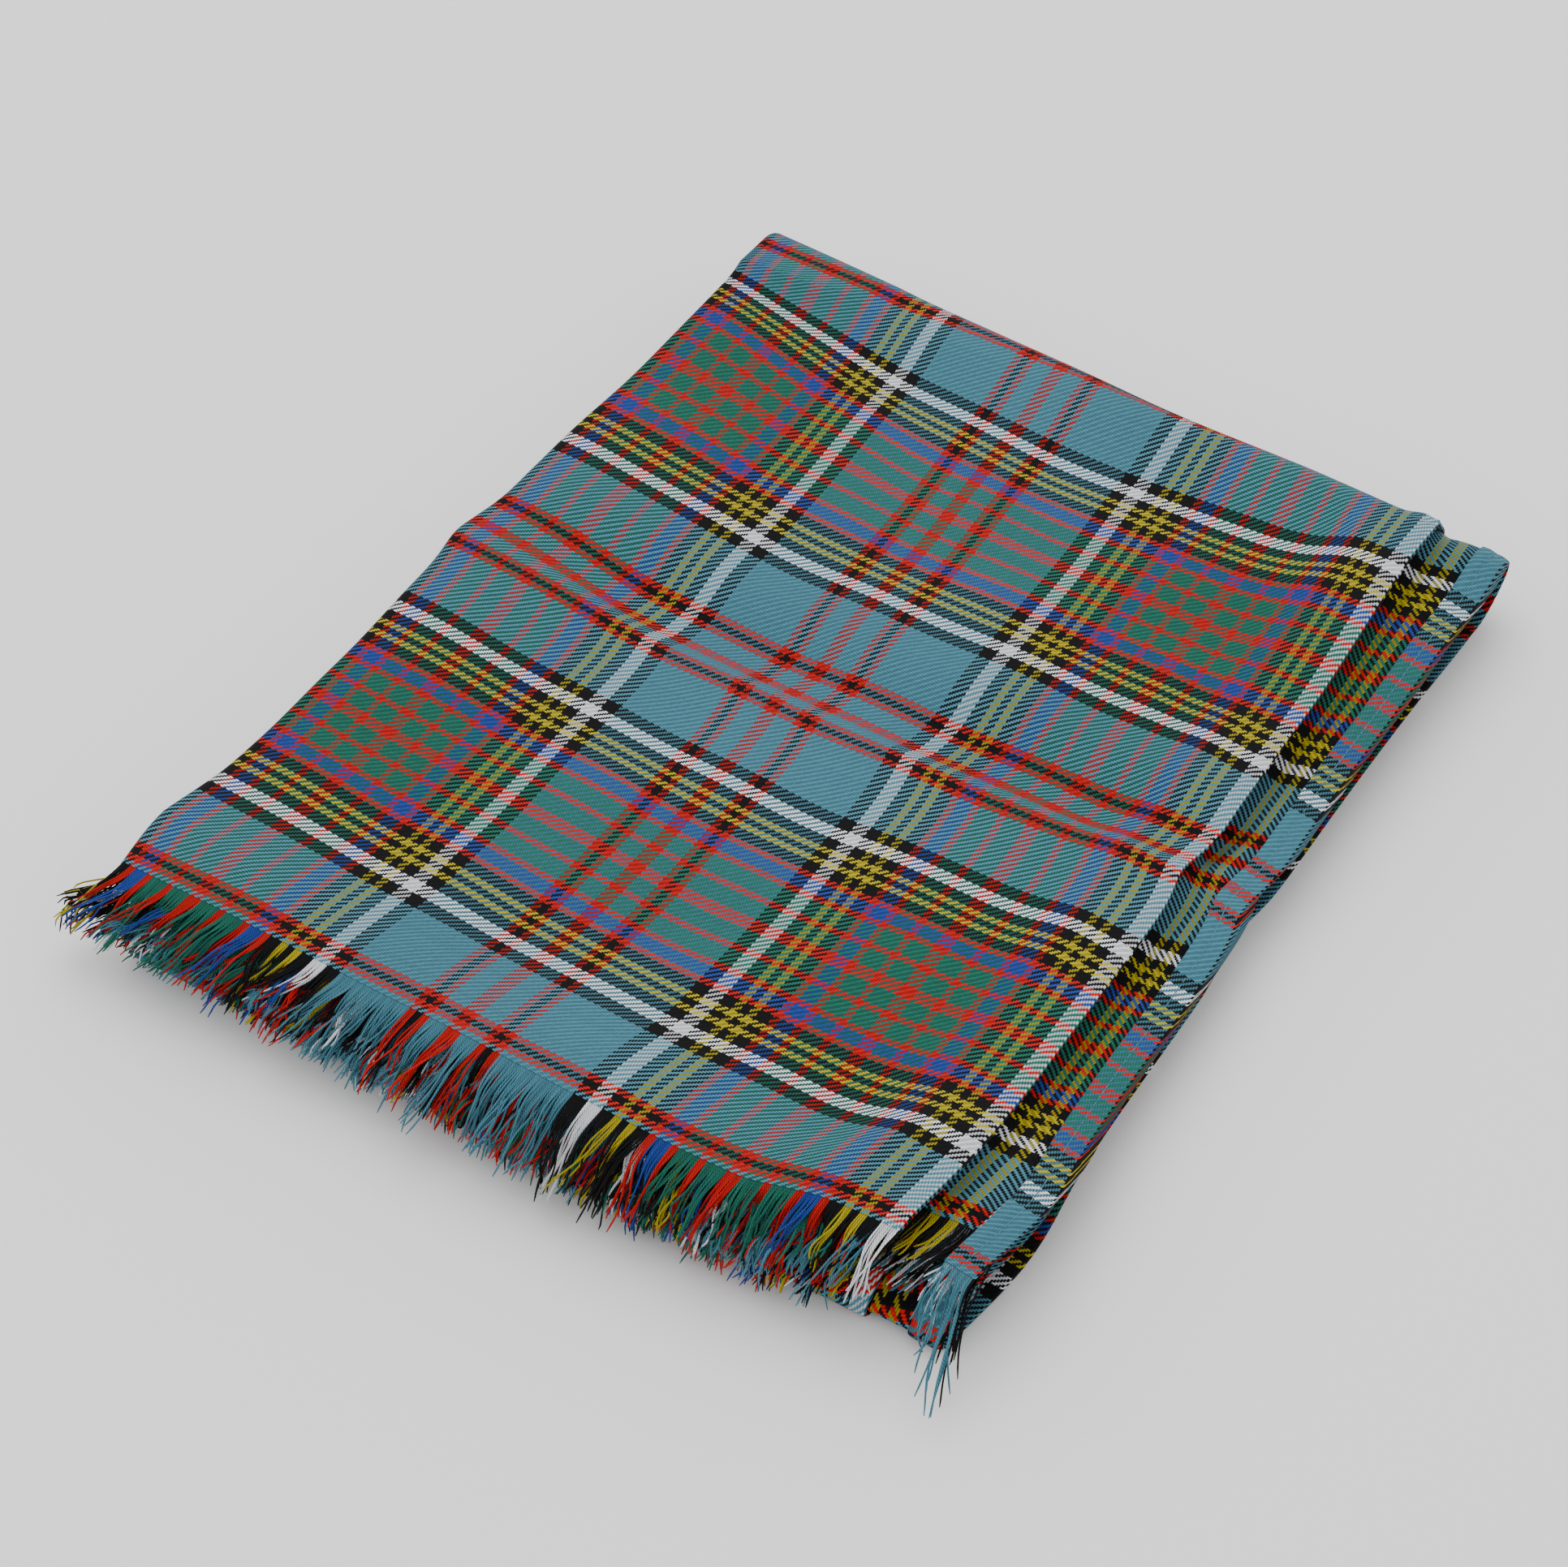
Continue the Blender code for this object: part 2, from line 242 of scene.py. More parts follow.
# ---- materials ----
class Nodes:
    """Short names for making shader nodes."""

    def __init__(self, name):
        self.material = bpy.data.materials.new(name)
        self.material.use_nodes = True
        self.tree = self.material.node_tree
        self.shader = self.tree.nodes["Principled BSDF"]

    def plug(self, socket, value):
        if hasattr(value, "is_output"):
            self.tree.links.new(value, socket)
        else:
            socket.default_value = value

    def math(self, operation, *values):
        node = self.tree.nodes.new("ShaderNodeMath")
        node.operation = operation
        for socket, value in zip(node.inputs, values):
            self.plug(socket, value)
        return node.outputs[0]

    def attribute(self, name):
        node = self.tree.nodes.new("ShaderNodeAttribute")
        node.attribute_name = name
        split = self.tree.nodes.new("ShaderNodeSeparateXYZ")
        self.plug(split.inputs[0], node.outputs["Vector"])
        return split.outputs

    def noise(self, scale, detail):
        node = self.tree.nodes.new("ShaderNodeTexNoise")
        node.inputs["Scale"].default_value = scale
        node.inputs["Detail"].default_value = detail
        place = self.tree.nodes.new("ShaderNodeTexCoord")
        self.plug(node.inputs["Vector"], place.outputs["Object"])
        return node.outputs["Fac"]

    def random(self, value):
        node = self.tree.nodes.new("ShaderNodeTexWhiteNoise")
        node.noise_dimensions = "1D"
        self.plug(node.inputs["W"], value)
        return node.outputs["Value"]

    def spread(self, value, low, high):
        """A value from 0 to 1, moved to between low and high."""
        return self.math("MULTIPLY_ADD", value, high - low, low)

    def mix(self, share, first, second):
        """Blend of two colours; 6, 7 and 2 are the mix node's colour sockets."""
        node = self.tree.nodes.new("ShaderNodeMix")
        node.data_type = "RGBA"
        self.plug(node.inputs[0], share)
        self.plug(node.inputs[6], first)
        self.plug(node.inputs[7], second)
        return node.outputs[2]

    def scaled(self, colour, factor):
        node = self.tree.nodes.new("ShaderNodeVectorMath")
        node.operation = "SCALE"
        self.plug(node.inputs[0], colour)
        self.plug(node.inputs["Scale"], factor)
        return node.outputs[0]

    def sett_colour(self, thread):
        """Colour of a thread by its whole number; the sett runs out and back again.

        The thread is looked up near its middle, away from the ramp's rounded-off steps.
        """
        place = self.math("PINGPONG", self.math("ADD", thread, 0.5), float(HALF_COUNT))
        ramp_node = self.tree.nodes.new("ShaderNodeValToRGB")
        ramp_node.color_ramp.interpolation = "CONSTANT"
        elements = ramp_node.color_ramp.elements
        elements.remove(elements[1])
        start = 0
        for number, (name, count) in enumerate(HALF_SETT):
            element = elements[0] if number == 0 else elements.new(start / HALF_COUNT)
            element.position = start / HALF_COUNT
            element.color = (*srgb(COLOURS[name]), 1)
            start += count
        step = self.math("MULTIPLY", self.math("ADD", place, 0.35), 1 / HALF_COUNT)
        self.plug(ramp_node.inputs[0], step)
        return ramp_node.outputs[0]

    def wool_surface(self, colour, height, strength):
        """Soft wool: rough, with sheen, and the bump of its yarns and fibres."""
        fibre = self.noise(2600, 2.0)
        colour = self.scaled(colour, self.spread(fibre, 0.80, 1.20))
        self.plug(self.shader.inputs["Base Color"], colour)
        self.shader.inputs["Roughness"].default_value = 0.88
        self.shader.inputs["Specular IOR Level"].default_value = 0.12
        self.shader.inputs["Sheen Weight"].default_value = 0.03
        self.shader.inputs["Sheen Roughness"].default_value = 0.45
        bump = self.tree.nodes.new("ShaderNodeBump")
        bump.inputs["Strength"].default_value = strength
        bump.inputs["Distance"].default_value = 0.0004
        self.plug(bump.inputs["Height"], self.math("ADD", height, self.spread(fibre, -0.12, 0.12)))
        self.plug(self.shader.inputs["Normal"], bump.outputs[0])
        return self.material


def woven_material():
    """Two-and-two twill, from the thread numbers stored on the mesh: warp, weft and side."""
    n = Nodes("woven_cloth")
    warp, weft, side = n.attribute("threads")
    warp_thread = n.math("FLOOR", warp)
    weft_thread = n.math("FLOOR", weft)
    diagonal = n.math("ADD", n.math("ADD", warp_thread, weft_thread), n.math("MULTIPLY", side, 2.0))
    phase = n.math("FLOORED_MODULO", diagonal, 4.0)
    warp_over = n.math("LESS_THAN", phase, 1.5)
    warp_part = n.math("FRACT", warp)
    weft_part = n.math("FRACT", weft)
    from_middle = n.math("ABSOLUTE", n.math("SUBTRACT", warp_part, 0.5))
    warp_shows = n.math("MULTIPLY", warp_over, n.math("LESS_THAN", from_middle, WARP_COVER / 2))
    weft_shows = n.math("SUBTRACT", 1.0, warp_shows)
    narrow_part = n.math("MULTIPLY_ADD", n.math("SUBTRACT", warp_part, 0.5), 1 / WARP_COVER, 0.5)

    def chosen(if_warp, if_weft):
        return n.math("ADD", n.math("MULTIPLY", if_warp, warp_shows),
                      n.math("MULTIPLY", if_weft, weft_shows))

    across = chosen(narrow_part, weft_part)
    along = n.math("FRACT", n.math("MULTIPLY", n.math("ADD", phase, chosen(weft_part, warp_part)),
                                   0.5))

    def crown(share):
        return n.math("MULTIPLY", n.math("MULTIPLY", share, n.math("SUBTRACT", 1.0, share)), 4.0)

    round_yarn = n.math("SQRT", crown(across))
    # the weft seen beside a warp float lies lower; through the height below, this also darkens its
    # colour as painted shade
    under = n.math("MULTIPLY", warp_over, weft_shows)
    height = n.math("MULTIPLY", round_yarn, n.spread(crown(along), 0.45, 1.0))
    height = n.math("MULTIPLY", height, n.spread(under, 1.0, 0.45))
    # painted shade: the warp's colour is darkened by WARP_SHADE, as it lies below the weft floats
    warp_colour_with_painted_shade = n.scaled(n.sett_colour(warp_thread), WARP_SHADE)
    colour = n.mix(warp_shows, n.sett_colour(weft_thread), warp_colour_with_painted_shade)
    yarn = n.random(chosen(warp_thread, n.math("ADD", weft_thread, 5000.0)))
    patches = n.noise(9, 2.0)
    # tone that differs at random by yarn and by patch; then painted shade: the colour darkens with the
    # yarn's height, at the yarns' sides, at the floats' ends and in the gaps between them, and is
    # lighter on their crowns
    tone_and_painted_shade = n.math("MULTIPLY", n.spread(yarn, 0.92, 1.08), n.spread(patches, 0.9, 1.1))
    tone_and_painted_shade = n.math("MULTIPLY", tone_and_painted_shade, n.spread(height, 0.5, 1.2))
    return n.wool_surface(n.scaled(colour, tone_and_painted_shade), height, 0.55)


def ply_height(n, along, turn):
    """Two plies twisted round each other: height over the yarn's surface."""
    angle = n.math("ARCTAN2", turn[1], turn[0])
    strands = n.math("ADD", n.math("MULTIPLY", angle, 1 / math.pi),
                     n.math("MULTIPLY", along, 2 / PLY_PITCH))
    share = n.math("FRACT", strands)
    crown = n.math("MULTIPLY", n.math("MULTIPLY", share, n.math("SUBTRACT", 1.0, share)), 4.0)
    return n.math("SQRT", crown)


def yarn_material():
    n = Nodes("fringe_yarn")
    warp, along, _ = n.attribute("threads")
    height = ply_height(n, along, n.attribute("turn"))
    thread = n.math("FLOOR", warp)
    # tone that differs at random by yarn, and painted shade: the colour darkens in the grooves between
    # the twisted plies and lightens on their crowns
    tone_and_painted_shade = n.math("MULTIPLY", n.spread(n.random(thread), 0.75, 1.05), n.spread(height, 0.25, 1.1))
    return n.wool_surface(n.scaled(n.sett_colour(thread), tone_and_painted_shade), height, 0.5)


def stitch_material():
    n = Nodes("hem_thread")
    _, along, _ = n.attribute("threads")
    height = ply_height(n, along, n.attribute("turn"))
    base = (*srgb(STITCH_COLOUR), 1)
    dark = (*srgb(STITCH_SHADOW), 1)
    return n.wool_surface(n.mix(height, dark, base), height, 0.4)


# ---- across the cloth: the winding of its four panels ----
class Winding:
    """Points (x, offset) of the cross-section from panel d's margin to panel a's."""

    def __init__(self, x, offset):
        self.points = [(x, offset)]

    def line(self, x, offset, spacing):
        start_x, start_offset = self.points[-1]
        steps = max(1, round(abs(x - start_x) / spacing))
        for step in range(1, steps + 1):
            share = step / steps
            self.points.append((start_x + (x - start_x) * share,
                                start_offset + (offset - start_offset) * share))

    def arc(self, centre_x, centre, radius, start, end, steps):
        for step in range(1, steps + 1):
            angle = math.radians(start + (end - start) * step / steps)
            self.points.append((centre_x + radius * math.cos(angle),
                                centre + radius * math.sin(angle)))


def wind_cloth():
    """The grid's columns, and the number of the column at which each panel starts or ends."""
    half = CLOTH_THICKNESS / 2
    turn = HEM_RISE / 2
    outer = 1.5 * LAYER_PITCH
    inner = 0.5 * LAYER_PITCH
    marks = {}

    def mark(name):
        marks[name] = len(winding.points) - 1

    winding = Winding(HEM_D_EDGE - HEM_WIDTH, OFFSET["d"] - HEM_RISE)
    winding.line(HEM_D_EDGE - half - turn, OFFSET["d"] - HEM_RISE, HEM_WIDTH / 8)
    winding.arc(HEM_D_EDGE - half - turn, OFFSET["d"] - turn, turn, -90, 90,
                HEM_TURN_STEPS)
    mark("d_start")
    winding.line(OUTER_LEFT + half + outer, OFFSET["d"], FINE)
    winding.arc(OUTER_LEFT + half + outer, 0, outer, 90, 270, 12)
    mark("d_end")
    winding.line(INNER_RIGHT - half - inner, OFFSET["c"], COARSE)
    winding.arc(INNER_RIGHT - half - inner, -LAYER_PITCH, inner, -90, 90, 8)
    mark("c_end")
    winding.line(INNER_LEFT + half + inner, OFFSET["b"], COARSE)
    winding.arc(INNER_LEFT + half + inner, 0, inner, 270, 90, 8)
    mark("a_start")
    winding.line(HEM_D_EDGE - 4 * HEM_WIDTH, OFFSET["a"], COARSE)
    winding.line(HEM_A_EDGE - half - turn, OFFSET["a"], FINE / 2)
    mark("a_end")
    winding.arc(HEM_A_EDGE - half - turn, OFFSET["a"] + turn, turn, -90, 90,
                HEM_TURN_STEPS)
    margin = len(winding.points)
    winding.line(HEM_A_EDGE - HEM_WIDTH, OFFSET["a"] + HEM_RISE, HEM_WIDTH / MARGIN_STEPS)
    points = np.array(winding.points)
    across = np.linspace(0, 1, len(points) - margin + 1)[1:]
    points[margin:, 1] += WELT * np.abs(np.sin(2 * math.pi * across)) ** 0.7
    return points, marks


def warp_numbers(points, marks):
    """Thread number of each column. Both hems fix it; panels c and b take up the difference."""
    run = np.append(0, np.cumsum(np.hypot(*np.diff(points, axis=0).T)))
    knots = [0, run[marks["d_end"]], run[marks["a_start"]], run[-1]]
    d_edge = run[marks["d_start"]] - HEM_RISE
    a_edge = run[marks["a_end"]] + HEM_RISE
    numbers = [HEM_D_WARP - d_edge / THREAD,
               HEM_D_WARP + (knots[1] - d_edge) / THREAD,
               HEM_A_WARP - (a_edge - knots[2]) / THREAD,
               HEM_A_WARP + (run[-1] - a_edge) / THREAD]
    return np.interp(run, knots, numbers), run[-1]


# ---- along the cloth: its four sections and the folds between them ----
def straight(start, end, mid_z, up, spacing):
    steps = max(2, round(abs(end - start) / spacing))
    return [(y, mid_z, 0.0, up) for y in np.linspace(start, end, steps + 1)]


def bend(centre_y, centre_z, radius, back, outward, steps):
    """Half a turn from top to bottom; back is 1 at the last fold and -1 at the front fold."""
    stations = []
    for angle in np.radians(np.linspace(90, -90, steps + 1)):
        y, z = back * math.cos(angle), math.sin(angle)
        stations.append((centre_y + radius * y, centre_z + radius * z, outward * y, outward * z))
    return stations


def lay_cloth():
    """Stations from the fringed end on top to the end inside, and each piece's rows."""
    lower = FRONT_Z - SECTION_HEIGHT / 2
    upper = FRONT_Z + SECTION_HEIGHT / 2
    runs = [
        ("top_section", straight(FRONT_Y, HINGE_Y, TOP_MID_Z, 1, ROW_FINE)),
        ("last_fold_outer", bend(HINGE_Y, HINGE_Z, 1.5 * SECTION_HEIGHT, 1, 1, 22)),
        ("lower_half", straight(HINGE_Y, FRONT_Y, lower, -1, ROW_COARSE)),
        ("lower_half", bend(FRONT_Y, FRONT_Z, SECTION_HEIGHT / 2, -1, 1, 14)[::-1]),
        ("lower_half", straight(FRONT_Y, HINGE_Y, upper, 1, ROW_COARSE)),
        ("last_fold_inner", bend(HINGE_Y, HINGE_Z, 0.5 * SECTION_HEIGHT, 1, -1, 14)[::-1]),
        ("inner_top_section", straight(HINGE_Y, INNER_END_Y, INNER_TOP_MID_Z, -1, ROW_COARSE)),
    ]
    stations = []
    rows = {}
    for name, run in runs:
        first = max(0, len(stations) - 1)
        stations += run if not stations else run[1:]
        start = rows.get(name, (first, 0))[0]
        rows[name] = (start, len(stations) - 1)
    return np.array(stations), rows


def edge_insets(rows, count):
    """How far each row's right and left edges stay behind the top section's."""
    right = {"top_section": 0, "lower_half": 0.0065, "inner_top_section": 0.013}
    left = {"top_section": 0, "lower_half": 0.003, "inner_top_section": 0.005}
    knots = []
    for name in ("top_section", "lower_half", "inner_top_section"):
        first, last = rows[name]
        knots += [(first, right[name], left[name]), (last, right[name], left[name])]
    places, rights, lefts = zip(*knots)
    index = np.arange(count)
    return np.interp(index, places, rights), np.interp(index, places, lefts)


def raise_of(x, y):
    """How far the top of the pile stands above its flat height."""
    front = 0.009 * ramp(y, -0.175, -0.236)
    back = 0.0095 * ramp(y, 0.185, 0.232)
    left = 0.0055 * ramp(x, -0.09, -0.185)
    corners = 0.005 * ramp(x, 0.10, 0.155) * (ramp(y, 0.10, 0.19) + ramp(y, -0.12, -0.19))
    valley = (-0.0085 * ramp(y, -0.014, 0.004) * ramp(y, 0.044, 0.010)
              * (0.25 + 0.75 * ramp(x, -0.19, -0.11) * ramp(x, 0.185, 0.15)))
    slopes = (0.0008 * np.sin(31 * x + 17 * y) + 0.0007 * np.sin(23 * y - 41 * x + 1.3)
              + 0.0004 * np.sin(83 * x + 61 * y) + 0.0003 * np.sin(97 * y - 71 * x))
    return np.minimum(front + back + left + corners + valley + slopes, MOST_RISE)


def lift_of(x, y, z, top):
    """Rise of each layer; past panel d's hem, the layers droop and leave a groove beside it."""
    share = np.clip((z - STILL_Z) / (TOP_Z - STILL_Z), 0, 1.1)
    droop = -0.008 * ramp(x - 0.0075 * top, 0.157, 0.171)
    puff = 0.0045 * top * ramp(x, 0.12, 0.152)
    groove = -0.0022 * (1 - top) * hump(x, 0.1695, 0.005)
    outer_edge = -0.003 * ramp(x, 0.180, 0.197)
    return np.minimum((raise_of(x, y) + droop + groove + outer_edge) * share + puff,
                      MOST_RISE * share)


def drift_along(x, y, z, top, left):
    """How far the cloth has slipped towards its back, so that its stripes run in soft waves."""
    drift = left * (0.009 * hump(y, 0.187, 0.09) + 0.017 * hump(y, 0.165, 0.055)
                    + 0.008 * ramp(y, 0.22, 0.10) * ramp(y, -0.24, -0.06)
                    + 0.006 * hump(y, -0.17, 0.05))
    drift -= 0.0045 * ramp(x, -0.09, 0.04) * ramp(y, 0.235, 0.19)
    drift += ramp(x, 0.105, 0.165) * (0.005 + 0.004 * hump(y, 0.18, 0.03)
                                      - 0.008 * hump(y, 0.065, 0.06)
                                      + 0.007 * ramp(y, -0.20, -0.24)
                                      - 0.006 * ramp(y, 0.20, 0.235))
    drift += (1 - top) * ramp(x, 0.148, 0.168) * (0.0125 + 0.005 * ramp(y, 0, -0.18))
    drift -= 0.0045 * top * ramp(x, 0.13, 0.162) * ramp(y, 0.22, 0.19)
    return drift * ramp(z, *SLIP_Z) * (1 - 0.5 * ramp(y, 0.200, 0.235))


def drift_across(x, y, left):
    """How far the cloth has slipped to the right; to the left where this is negative."""
    return (-0.0022 - 0.006 * ramp(y, -0.17, -0.24) - 0.004 * hump(y, -0.005, 0.02)
            - 0.005 * left * hump(y, 0.0, 0.15)
            - 0.003 * ramp(x, 0.10, 0.03) * (hump(y, -0.187, 0.04) + ramp(y, 0.10, 0.19))
            - 0.004 * ramp(x, 0.12, 0.165) * hump(y, 0.187, 0.05)
            + 0.007 * ramp(x, 0.16, 0.19) * (hump(y, 0.2, 0.06) + hump(y, -0.21, 0.05))
            + ramp(x, -0.14, -0.19) * (0.0005 + 0.005 * ramp(y, -0.21, -0.25)))


def settle(points):
    """Softens the stack: the upper layers rise and dip, and all of them drift a little."""
    x, y, z = points[..., 0], points[..., 1], points[..., 2]
    top = ramp(z, *TOP_LAYER_Z)
    left = ramp(x, -0.03, -0.20)
    return np.stack([x + drift_across(x, y, left), y + drift_along(x, y, z, top, left),
                     z + lift_of(x, y, z, top)], axis=-1)


class Cloth:
    """The whole cloth: places, normals and thread numbers of its grid."""

    def __init__(self):
        winding, self.marks = wind_cloth()
        self.warp, self.width = warp_numbers(winding, self.marks)
        stations, self.rows = lay_cloth()
        x, offset = winding.T
        y, z, normal_y, normal_z = (column[:, None] for column in stations.T)
        share = np.clip((y - FRONT_Y) / (HINGE_Y - FRONT_Y), 0, 1)
        right, left = (inset[:, None] for inset in edge_insets(self.rows, len(stations)))
        shifted = x - right * ramp(x, 0.05, 0.17) + left * ramp(x, -0.05, -0.17)
        flat = np.stack([shifted, y + FOLD_SKEW * x * share + offset * normal_y,
                         z + offset * normal_z], axis=-1)
        steps = np.linalg.norm(np.diff(flat, axis=0), axis=-1)
        run = np.vstack([np.zeros(len(x)), np.cumsum(steps, axis=0)])
        self.weft = FIRST_WEFT + run / THREAD
        self.length = run.mean(axis=1)
        self.place = settle(flat)
        along = np.gradient(self.place, axis=0)
        across = np.gradient(self.place, axis=1)
        normal = np.cross(along, across)
        self.normal = normal / np.linalg.norm(normal, axis=-1, keepdims=True)


# ---- meshes ----
def new_piece(name, vertices, faces, material, smooth_angle=40):
    mesh = bpy.data.meshes.new(name)
    mesh.from_pydata(vertices, [], faces)
    mesh.validate()
    mesh.materials.append(material)
    mesh.shade_smooth()
    mesh.set_sharp_from_angle(angle=math.radians(smooth_angle))
    piece = bpy.data.objects.new(name, mesh)
    bpy.context.collection.objects.link(piece)
    return piece


def store(piece, name, values):
    attribute = piece.data.attributes.new(name, "FLOAT_VECTOR", "POINT")
    attribute.data.foreach_set("vector", np.asarray(values, np.float32).ravel())


def cloth_piece(name, cloth, first, last, material):
    """A closed shell of the cloth's thickness between two rows of the grid."""
    place = cloth.place[first:last + 1]
    normal = cloth.normal[first:last + 1] * (CLOTH_THICKNESS / 2)
    rows, columns = place.shape[:2]
    index = np.arange(rows * columns).reshape(rows, columns)
    back = index + rows * columns
    face = np.stack([index[:-1, :-1], index[1:, :-1], index[1:, 1:], index[:-1, 1:]], -1)
    faces = [face.reshape(-1, 4), (face[..., ::-1] + rows * columns).reshape(-1, 4)]
    for edge, far in ((index[0], back[0]), (index[:, -1], back[:, -1]),
                      (index[-1, ::-1], back[-1, ::-1]), (index[::-1, 0], back[::-1, 0])):
        faces.append(np.stack([edge[:-1], edge[1:], far[1:], far[:-1]], -1))
    vertices = np.concatenate([(place + normal).reshape(-1, 3), (place - normal).reshape(-1, 3)])
    piece = new_piece(name, vertices, np.concatenate(faces), material)
    warp = np.broadcast_to(cloth.warp, (rows, columns))
    weft = cloth.weft[first:last + 1]
    sides = [np.stack([warp, weft, np.full_like(weft, side)], -1) for side in (0, 1)]
    store(piece, "threads", np.concatenate([part.reshape(-1, 3) for part in sides]))
    return piece


def tubes(name, paths, radius, sides, warp, material):
    """Closed round tubes along many paths at once; paths has shape (tube, point, 3)."""
    count, steps = paths.shape[:2]
    tangent = np.gradient(paths, axis=1)
    tangent /= np.linalg.norm(tangent, axis=-1, keepdims=True)
    level = np.array([1.0, 0.0, 0.0]) - tangent * tangent[..., :1]
    level /= np.linalg.norm(level, axis=-1, keepdims=True)
    upright = np.cross(tangent, level)
    angle = np.arange(sides) * 2 * math.pi / sides
    ring = (level[:, :, None] * np.cos(angle)[None, None, :, None]
            + upright[:, :, None] * np.sin(angle)[None, None, :, None])
    size = np.full(steps, radius)
    size[-1] *= TIP_SHARE
    vertices = paths[:, :, None] + ring * size[None, :, None, None]
    index = np.arange(count * steps * sides).reshape(count, steps, sides)
    after = np.roll(index, -1, axis=2)
    walls = np.stack([index[:, :-1], after[:, :-1], after[:, 1:], index[:, 1:]], -1)
    faces = walls.reshape(-1, 4).tolist()
    faces += index[:, 0, ::-1].tolist() + index[:, -1].tolist()
    piece = new_piece(name, vertices.reshape(-1, 3), faces, material, 60)
    run = np.linalg.norm(np.diff(paths, axis=1), axis=-1).cumsum(axis=1)
    along = np.concatenate([np.zeros((count, 1)), run], axis=1)
    shape = (count, steps, sides)
    threads = np.stack([np.broadcast_to(np.asarray(warp)[:, None, None], shape),
                        np.broadcast_to(along[:, :, None], shape), np.zeros(shape)], -1)
    turn = np.stack([np.broadcast_to(np.cos(angle), shape), np.broadcast_to(np.sin(angle), shape),
                     np.zeros(shape)], -1)
    store(piece, "threads", threads)
    store(piece, "turn", turn)
    return piece


# ---- sewing thread ----
def stitches(name, cloth, column, first, last, material):
    """A row of straight stitches that dip into the cloth at both ends."""
    place = cloth.place[first:last + 1, column]
    normal = cloth.normal[first:last + 1, column]
    run = np.append(0, np.cumsum(np.linalg.norm(np.diff(place, axis=0), axis=-1)))
    starts = np.arange(STITCH_GAP, run[-1] - STITCH, STITCH + STITCH_GAP)
    share = np.linspace(0, 1, STITCH_STEPS)
    at = starts[:, None] + STITCH * share
    bow = 1.2 * np.sqrt(4 * share * (1 - share)) - 0.6
    lift = CLOTH_THICKNESS / 2 + STITCH_RADIUS * bow
    paths = np.stack([np.interp(at, run, place[:, axis]) for axis in range(3)], -1)
    out = np.stack([np.interp(at, run, normal[:, axis]) for axis in range(3)], -1)
    return tubes(name, paths + out * lift[:, None], STITCH_RADIUS, STITCH_SIDES,
                 np.zeros(len(starts)), material)


# ---- fringes ----
def colour_run(thread):
    """Number of the coloured stripe that a thread belongs to."""
    lap, place = divmod(thread, 2 * HALF_COUNT)
    mirrored = place >= HALF_COUNT
    place = 2 * HALF_COUNT - 1 - place if mirrored else place
    ends = np.cumsum([count for _, count in HALF_SETT])
    stripe = int(np.searchsorted(ends, place, side="right"))
    last = 2 * len(HALF_SETT) - 2
    return lap * last + (last - stripe if mirrored else stripe)


def bundles(threads, rng):
    """Number of the bundle of each yarn: a stripe's yarns clump, in groups of up to ten."""
    numbers = []
    number, size, limit, stripe = 0, 0, 0, None
    for thread in threads:
        here = colour_run(int(thread))
        if stripe is None or here != stripe or size >= limit:
            number += 1
            size, limit, stripe = 0, rng.integers(6, 11), here
        size += 1
        numbers.append(number)
    return np.array(numbers) - 1


def hang(roots, flat, curve, steepness, lean, length):
    """Paths of yarns that run out level, curve over and hang, leaning sideways."""
    along = np.linspace(0, 1, YARN_STEPS)[None, :] * length[:, None]
    step = np.diff(along, axis=1)
    middle = (along[:, 1:] + along[:, :-1]) / 2
    angle = steepness[:, None] * ramp(middle, flat[:, None], (flat + curve)[:, None])
    side = lean[:, None] * ramp(middle, 0.0, 0.012)
    forward = np.sqrt(1 - side ** 2)
    moves = np.stack([side, -forward * np.cos(angle), -forward * np.sin(angle)], -1)
    path = np.cumsum(moves * step[..., None], axis=1)
    return np.concatenate([roots[:, None], roots[:, None] + path], axis=1)


def loosen(paths, middle, rng):
    """Gathers each bundle towards its middle, then lets every yarn wander a little."""
    count = len(paths)
    share = np.linspace(0, 1, YARN_STEPS)
    gather = 0.45 * ramp(share, 0.05, 0.9)
    paths[:, :, 0] += (middle - paths[:, 0, 0])[:, None] * gather
    wobble = rng.normal(size=(count, 1)) * np.sin(share * (5 + 3 * rng.random((count, 1))))
    paths[:, :, 0] += 0.0016 * share * wobble
    paths[:, :, 1] += 0.0016 * share * rng.normal(size=(count, 1))
    floor = YARN_RADIUS + 0.0002 + 0.0016 * rng.random((count, 1))
    paths[:, :, 2] = np.maximum(paths[:, :, 2], floor)
    low_x = CAD_BOX[0].x - LEFT_ROOM
    paths[:, :, 0] = np.maximum(paths[:, :, 0], low_x + 0.004 * rng.random((count, 1)))
    return paths


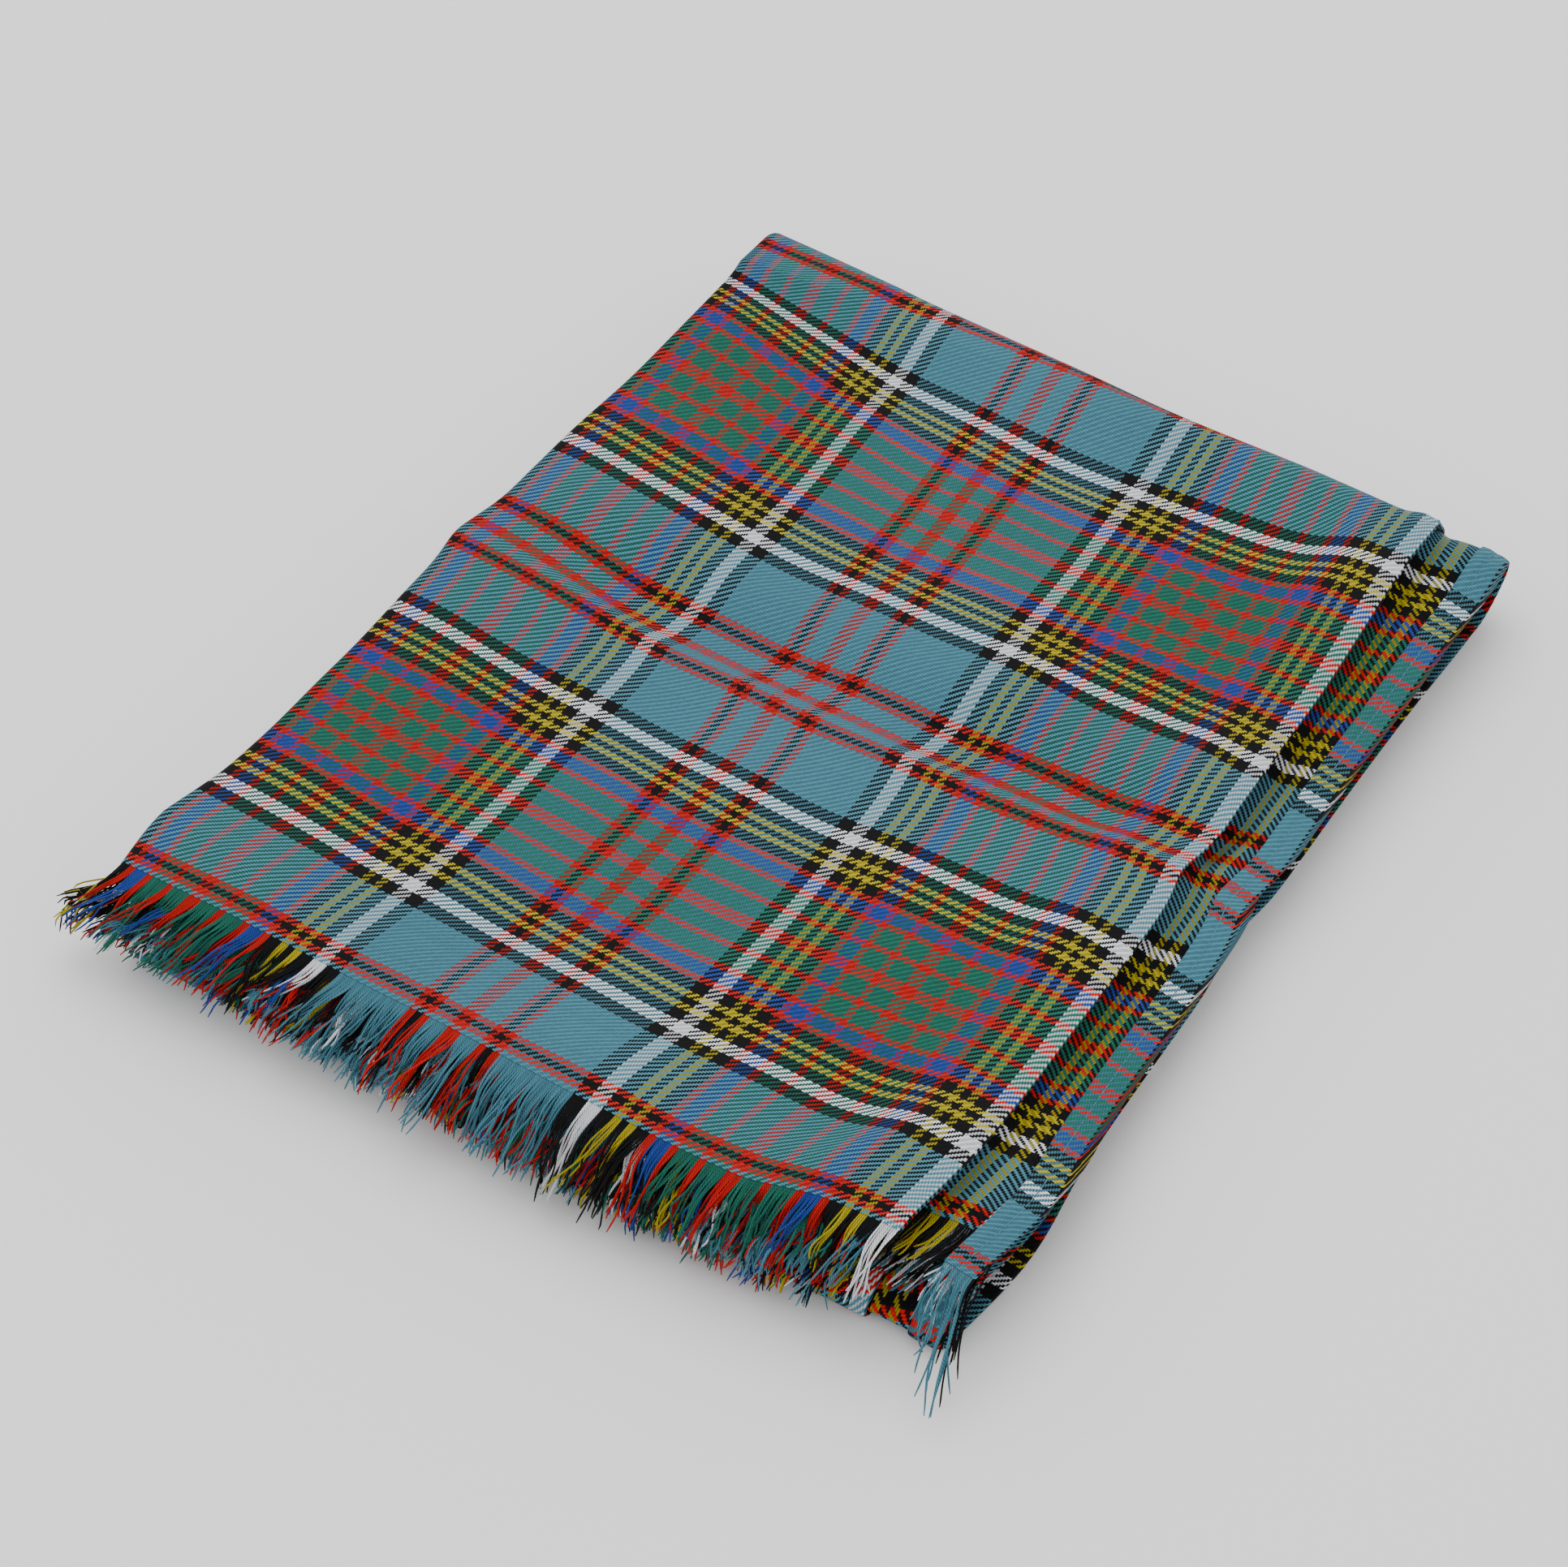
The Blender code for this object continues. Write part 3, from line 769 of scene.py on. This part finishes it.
def fringe(name, cloth, row, first, last, top, material, seed):
    """Yarns of one panel: the warp threads that go on past the last weft."""
    rng = np.random.default_rng(seed)
    warp = cloth.warp[first:last + 1]
    threads = np.arange(math.ceil(warp[0]), math.floor(warp[-1]))
    roots = np.stack([np.interp(threads + 0.5, warp, cloth.place[row, first:last + 1, axis])
                      for axis in range(3)], -1)
    count = len(threads)
    group = bundles(threads, rng)
    groups = group.max() + 1
    x = roots[:, 0]
    middle = (np.bincount(group, x) / np.bincount(group))[group]
    lean = -0.22 - 0.36 * ramp(middle, 0.06, -0.17) + 0.10 * rng.normal(size=groups)[group]
    lean += 0.06 * rng.normal(size=count)
    if top:
        curve = 0.017 + 0.004 * rng.normal(size=groups)[group]
        steep = np.radians(75 + 6 * rng.normal(size=groups)[group] + 6 * rng.normal(size=count))
    else:
        curve = np.full(count, 0.012)
        steep = np.radians(84 + 3 * rng.normal(size=count))
    length = YARN_LENGTH * (1 + 0.05 * rng.normal(size=groups)[group]
                            + 0.05 * rng.normal(size=count))
    if top:
        at_hem = ramp(x, HEM_A_EDGE - 1.6 * HEM_WIDTH, HEM_A_EDGE - 0.6 * HEM_WIDTH)
        hidden = (1 - at_hem) * (not name.endswith("_d"))
        length = length + (HEM_YARN_LENGTH - YARN_LENGTH) * at_hem
        length = length * (1 - 0.26 * ramp(x, 0.03, 0.13) * (1 - at_hem)) * (1 - 0.24 * hidden)
        steep = steep - math.radians(22) * at_hem
        lean = lean + 0.42 * at_hem + 0.12 * at_hem * (threads > HEM_A_WARP)
        curve = curve - 0.004 * hidden
    lean = np.clip(lean, -MOST_LEAN, 0.3)
    bend_before = 0.0095 if top else -0.001   # how far behind the front fold's face they bend
    past_fold = roots[:, 1] - FRONT_Y + FRONT_REACH - bend_before
    flat = np.maximum(past_fold, 0.001) / np.sqrt(1 - lean ** 2)
    paths = hang(roots, flat, curve, np.minimum(steep, MOST_STEEP), lean, length)
    paths = loosen(paths, middle, rng)
    return tubes(name, paths, YARN_RADIUS, YARN_SIDES, threads + 0.5, material)


# ---- assembly ----
BODY = {"top_section": "upper_half", "inner_top_section": "upper_half",
        "lower_half": "lower_half"}
STANDS_FOR = {"top_section": ["top_section_cloth"],
              "inner_top_section": ["inner_top_section_cloth"],
              "lower_half": ["inner_bottom_section_cloth", "front_fold_cloth",
                             "bottom_section_cloth"],
              "last_fold_outer": ["last_fold_outer_cloth"],
              "last_fold_inner": ["last_fold_inner_cloth"]}


def carry(piece, run):
    """Puts a piece on its body, or else bakes its placement into its mesh."""
    if run in BODY:
        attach(piece, BODY[run])
        return
    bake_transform(piece)


def make_sheet(run, cloth, woven, thread):
    """One stretch of the cloth and the sewing threads of its two hems."""
    first, last = cloth.rows[run]
    piece = cloth_piece("cloth_" + run, cloth, first, last, woven)
    carry(piece, run)
    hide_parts(*STANDS_FOR[run])
    seams = {"a": cloth.marks["a_end"] + HEM_TURN_STEPS + MARGIN_STEPS // 2, "d": 1}
    threads = []
    for hem, column in seams.items():
        sewn = stitches("stitches_%s_%s" % (hem, run), cloth, column, first, last, thread)
        carry(sewn, run)
        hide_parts("hem_thread_%s_%s" % (hem, run))
        threads.append(sewn)
    return piece, threads


def make_fringes(cloth, yarn, extras):
    """Eight pieces, one for each panel at each end, added to what goes with their sections."""
    marks = cloth.marks
    spans = {"d": (0, marks["d_end"]), "c": (marks["d_end"], marks["c_end"]),
             "b": (marks["c_end"], marks["a_start"]), "a": (marks["a_start"], len(cloth.warp) - 1)}
    ends = {"top_end": (0, "top_section"), "inner_end": (len(cloth.weft) - 1, "inner_top_section")}
    for number, (end, (row, run)) in enumerate(ends.items()):
        for place, (panel, (first, last)) in enumerate(spans.items()):
            piece = fringe("fringe_yarns_%s_%s" % (end, panel), cloth, row, first, last,
                           end == "top_end", yarn, SEED + 10 * number + place)
            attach(piece, "upper_half")
            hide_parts("fringe_%s_panel_%s" % (end, panel))
            extras[run].append(piece)


def make_pieces(floor):
    cloth = Cloth()
    woven, yarn, thread = woven_material(), yarn_material(), stitch_material()
    sheets = {}
    extras = {}
    for run in cloth.rows:
        sheets[run], extras[run] = make_sheet(run, cloth, woven, thread)
    make_fringes(cloth, yarn, extras)


make_camera()
make_pieces(make_studio())
